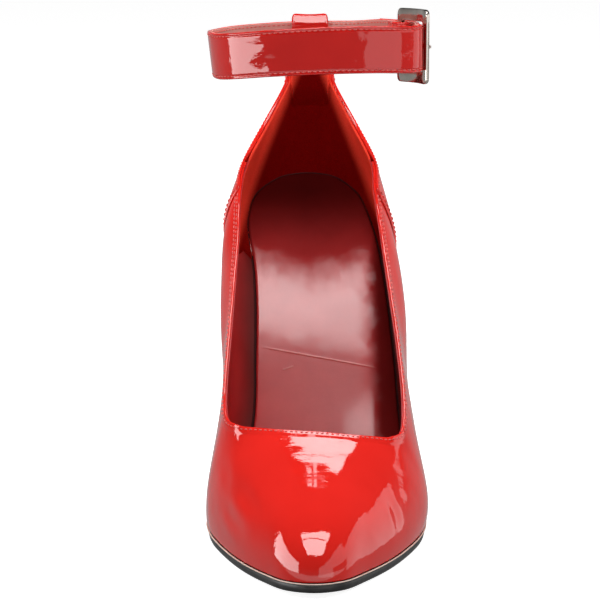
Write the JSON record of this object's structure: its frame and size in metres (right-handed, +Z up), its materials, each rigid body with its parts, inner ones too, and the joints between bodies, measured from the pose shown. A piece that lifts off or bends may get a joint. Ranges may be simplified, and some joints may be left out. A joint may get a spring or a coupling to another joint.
{
  "type": "ankle-strap high heel shoe",
  "caption": "Left high-heeled pump with a closed pointed toe, closed back, tall slim heel, and a buckled ankle strap held by a loop at the back.",
  "frame": {"origin": "on the floor in the middle of the forefoot's flat spot under the ball of the foot", "axes": "+Z up from the floor, -Y towards the toe, +X to the outer side of the foot"},
  "size_m": [0.0875, 0.1965, 0.1905],
  "materials": {
    "upper_patent": "high-gloss red patent",
    "sole_black": "semi-gloss black",
    "insole_burgundy": "smooth burgundy sock lining",
    "heel_cover": "high-gloss red patent cover",
    "tip_rubber": "matt black",
    "strap_patent": "high-gloss red patent",
    "loop_patent": "high-gloss red patent",
    "buckle_nickel": "polished nickel",
    "prong_nickel": "polished nickel"
  },
  "bodies": {
    "root": {"upper": "upper_patent", "outsole": "sole_black", "insole": "insole_burgundy", "heel": "heel_cover", "heel_tip": "tip_rubber", "ankle_strap": "strap_patent", "strap_loop": "loop_patent", "buckle_frame": "buckle_nickel", "buckle_prong": "prong_nickel"}
  },
  "joints": []
}
